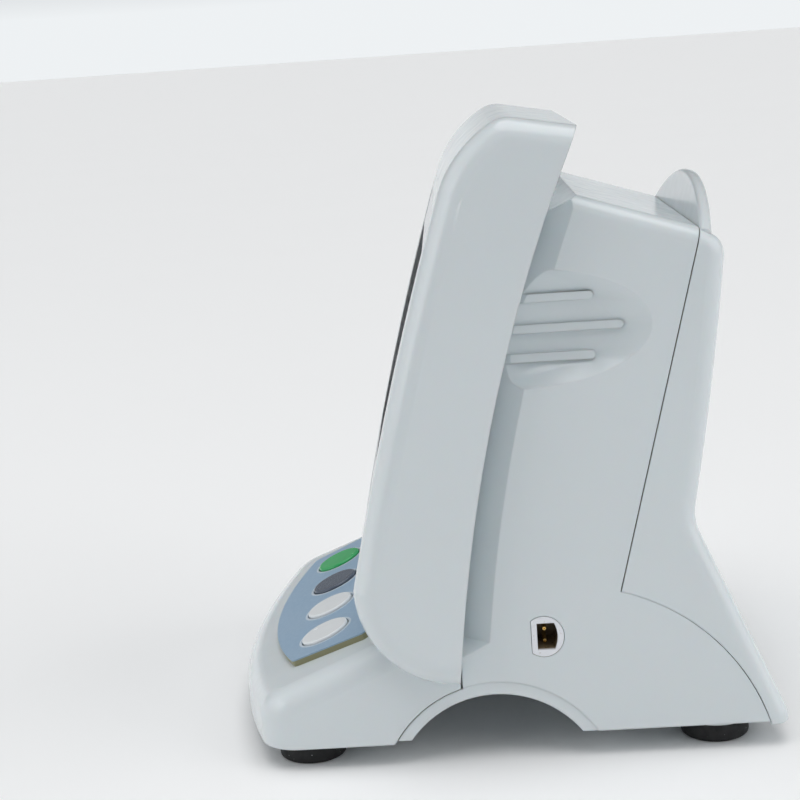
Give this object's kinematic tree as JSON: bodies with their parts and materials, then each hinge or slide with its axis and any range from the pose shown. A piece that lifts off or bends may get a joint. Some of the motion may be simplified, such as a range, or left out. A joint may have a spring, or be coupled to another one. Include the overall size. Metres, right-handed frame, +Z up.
{
  "type": "apex locator",
  "caption": "Desk-top root canal meter: leaning display hood on a keypad base, battery tower behind with a lift-off cover, probe socket and rubber feet.",
  "frame": {"origin": "on the floor, under the middle of the overall width and depth", "axes": "+Z up; the display and keypad face -Y; the battery cover faces +Y; the probe socket is on the +X side"},
  "size_m": [0.1168, 0.123, 0.1379],
  "materials": {
    "shell_plastic": "glossy moulded ABS, cool white",
    "window_plastic": "clear glossy lens",
    "display_glass": "liquid crystal glass, grey green",
    "backlight_plastic": "milky light guide",
    "circuit_board": "green solder mask",
    "component_plastic": "black moulded component",
    "screw_steel": "nickel-plated steel",
    "keypad_overlay": "satin grey-blue overlay",
    "tray_plastic": "satin white",
    "contact_metal": "nickel-plated spring steel",
    "label_foil": "satin silver foil",
    "speaker_basket": "black",
    "speaker_paper": "dark paper",
    "socket_plastic": "white nylon",
    "pin_gold": "gold plated",
    "white_key": "glossy white",
    "grey_key": "dark slate",
    "green_key": "green",
    "battery_sleeve": "shrink sleeve, plain dark with a light end",
    "foot_rubber": "matt black rubber"
  },
  "bodies": {
    "case": {"battery_1": "battery_sleeve", "battery_2": "battery_sleeve", "battery_3": "battery_sleeve", "battery_4": "battery_sleeve", "battery_5": "battery_sleeve", "battery_contacts": "contact_metal", "battery_tray": "tray_plastic", "board_components": "component_plastic", "board_screws": "screw_steel", "case_screws": "screw_steel", "cover_screws": "screw_steel", "front_left_foot": "foot_rubber", "front_right_foot": "foot_rubber", "front_shell": "shell_plastic", "key_board": "circuit_board", "key_board_screws": "screw_steel", "key_switches": "component_plastic", "keypad_plate": "keypad_overlay", "lcd_backlight": "backlight_plastic", "lcd_glass": "display_glass", "lcd_window": "window_plastic", "main_board": "circuit_board", "rating_label": "label_foil", "rear_left_foot": "foot_rubber", "rear_right_foot": "foot_rubber", "rear_shell": "shell_plastic", "socket_pins": "pin_gold", "socket_shell": "socket_plastic", "speaker": "speaker_basket", "speaker_cone": "speaker_paper"},
    "battery_cover": {"rear_cover": "shell_plastic"},
    "white_key_right": {"white_key_right": "white_key", "white_key_right_switch_button": "component_plastic"},
    "white_key_left": {"white_key_left": "white_key", "white_key_left_switch_button": "component_plastic"},
    "grey_key": {"grey_key": "grey_key", "grey_key_switch_button": "component_plastic"},
    "green_key": {"green_key": "green_key", "green_key_switch_button": "component_plastic"}
  },
  "joints": [
    {"name": "battery_cover_off", "type": "slide", "parent": "case", "child": "battery_cover", "axis": [0, 1, 0], "range_m": [0, 0.03]},
    {"name": "white_key_right_press", "type": "slide", "parent": "case", "child": "white_key_right", "axis": [0, 0.3746, -0.9272], "range_m": [0, 0.0005], "stiffness_N_per_m": 300, "springref_m": -0.0005},
    {"name": "white_key_left_press", "type": "slide", "parent": "case", "child": "white_key_left", "axis": [0, 0.3746, -0.9272], "range_m": [0, 0.0005], "stiffness_N_per_m": 300, "springref_m": -0.0005},
    {"name": "grey_key_press", "type": "slide", "parent": "case", "child": "grey_key", "axis": [0, 0.3746, -0.9272], "range_m": [0, 0.0005], "stiffness_N_per_m": 300, "springref_m": -0.0005},
    {"name": "green_key_press", "type": "slide", "parent": "case", "child": "green_key", "axis": [0, 0.3746, -0.9272], "range_m": [0, 0.0005], "stiffness_N_per_m": 300, "springref_m": -0.0005}
  ]
}
